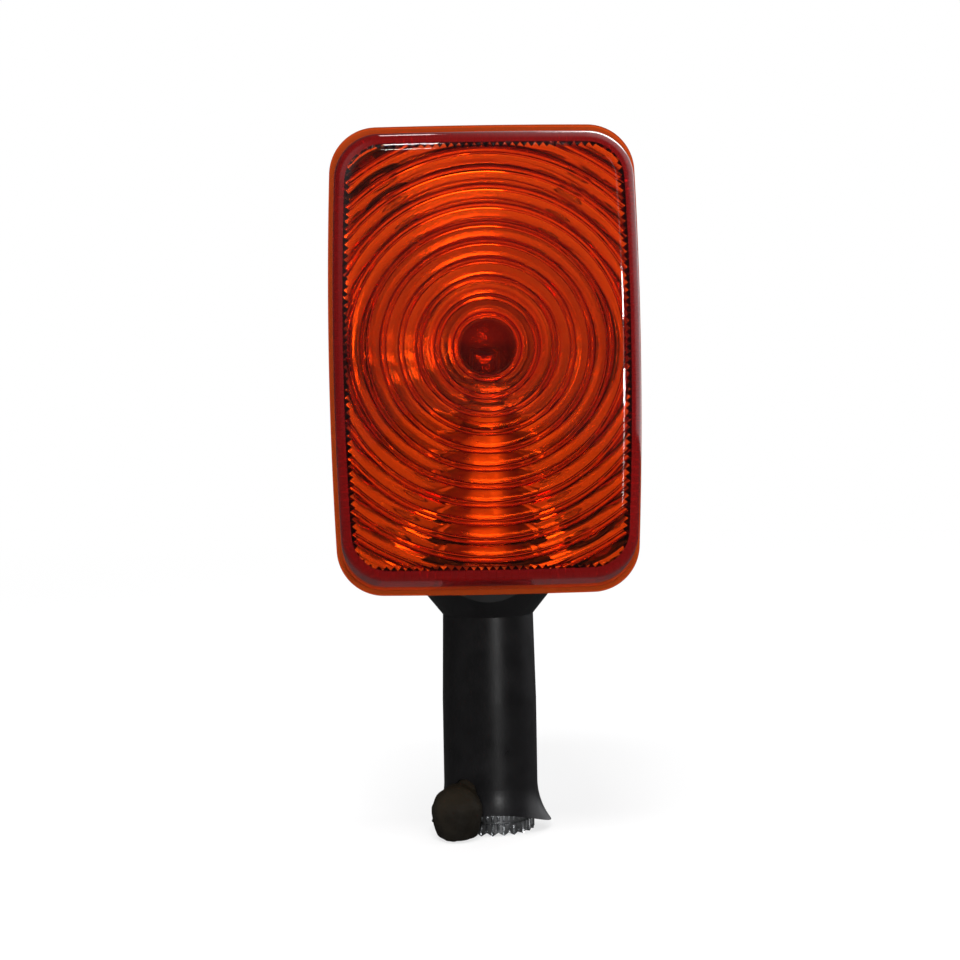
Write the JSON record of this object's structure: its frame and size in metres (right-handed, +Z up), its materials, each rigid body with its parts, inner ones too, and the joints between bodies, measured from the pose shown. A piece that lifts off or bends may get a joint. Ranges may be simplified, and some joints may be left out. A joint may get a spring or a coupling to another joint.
{
  "type": "bicycle turn signal light",
  "caption": "Rectangular amber turn signal light with a ringed, fluted lens, a bayonet bulb on a sprung contact and a black stem with a threaded foot.",
  "frame": {"origin": "on the stem's axis, in the plane of the serrated ring's tooth crests, where the foot meets whatever carries the light", "axes": "+Z up the stem to the head, -Y the way the lens faces, +X to the right of someone who looks at the lens"},
  "size_m": [0.06, 0.05, 0.1386],
  "materials": {
    "black_moulding": "satin moulded black",
    "bright_steel": "zinc-plated, bright",
    "plated_steel": "plated sheet steel",
    "spring_steel": "bright wire",
    "black_rubber": "soft matt rubber",
    "feed_insulation": "insulated lead",
    "earth_insulation": "insulated lead",
    "mirror_plating": "vacuum-plated plastic",
    "fibre_board": "brown fibre board",
    "brass": "plain brass",
    "solder": "soft solder",
    "black_glass": "black glass insulator",
    "clear_glass": "clear blown glass",
    "filament_wire": "drawn wire",
    "amber_lens": "clear amber moulding, ringed and fluted inside"
  },
  "bodies": {
    "light_body": {"stem_foot": "black_moulding", "threaded_insert": "bright_steel", "stem_upper": "black_moulding", "stem_washer": "bright_steel", "stem_locknut": "bright_steel", "wire_boot": "black_rubber", "feed_lead": "feed_insulation", "earth_lead": "earth_insulation", "rear_housing": "black_moulding", "lens_gasket": "black_rubber", "reflector": "mirror_plating", "reflector_screws": "bright_steel", "bracket_screws": "bright_steel", "holder_bracket": "plated_steel", "holder_rivets": "plated_steel", "bulb_holder": "plated_steel", "insulator_disc": "fibre_board", "feed_terminal": "brass", "contact_spring": "spring_steel"},
    "lens_cover": {"lens": "amber_lens"},
    "sprung_contact": {"contact_plunger": "brass", "contact_carrier": "fibre_board"},
    "bulb": {"bulb_cap": "brass", "bulb_base_insulator": "black_glass", "bulb_contact": "solder", "bulb_glass": "clear_glass", "bulb_pinch": "clear_glass", "filament_supports": "filament_wire", "bulb_filament": "filament_wire"},
    "upper_washer": {"screw_washer_upper": "bright_steel"},
    "upper_screw": {"lens_screw_upper": "bright_steel"},
    "lower_washer": {"screw_washer_lower": "bright_steel"},
    "lower_screw": {"lens_screw_lower": "bright_steel"}
  },
  "joints": [
    {"name": "lens_off", "type": "slide", "parent": "light_body", "child": "lens_cover", "axis": [0, -1, 0], "range_m": [0, 0.03]},
    {"name": "contact_press", "type": "slide", "parent": "light_body", "child": "sprung_contact", "axis": [0, 0, -1], "range_m": [0, 0.0015], "stiffness_N_per_m": 1500, "springref_m": -0.003, "deforming": ["contact_spring"]},
    {"name": "bulb_turn", "type": "hinge", "parent": "sprung_contact", "child": "bulb", "pos_m": [0, -0.01, 0.0765], "axis": [0, 0, 1], "range_deg": [0, 32]},
    {"name": "upper_screw_out", "type": "slide", "parent": "light_body", "child": "upper_washer", "axis": [0, 1, 0], "range_m": [0, 0.0096]},
    {"name": "upper_screw_turn", "type": "hinge", "parent": "upper_washer", "child": "upper_screw", "pos_m": [-0.02246, -0.0047, 0.13196], "axis": [0, 1, 0], "range_deg": [0, 2160]},
    {"name": "lower_screw_out", "type": "slide", "parent": "light_body", "child": "lower_washer", "axis": [0, 1, 0], "range_m": [0, 0.0096]},
    {"name": "lower_screw_turn", "type": "hinge", "parent": "lower_washer", "child": "lower_screw", "pos_m": [0.02246, -0.0047, 0.05524], "axis": [0, 1, 0], "range_deg": [0, 2160]}
  ],
  "couplings": [
    {"joint": "bulb_turn", "follows": "contact_press", "rad_per_m": 372.22},
    {"joint": "upper_screw_turn", "follows": "upper_screw_out", "rad_per_m": 3926.9},
    {"joint": "lower_screw_turn", "follows": "lower_screw_out", "rad_per_m": 3926.9}
  ]
}
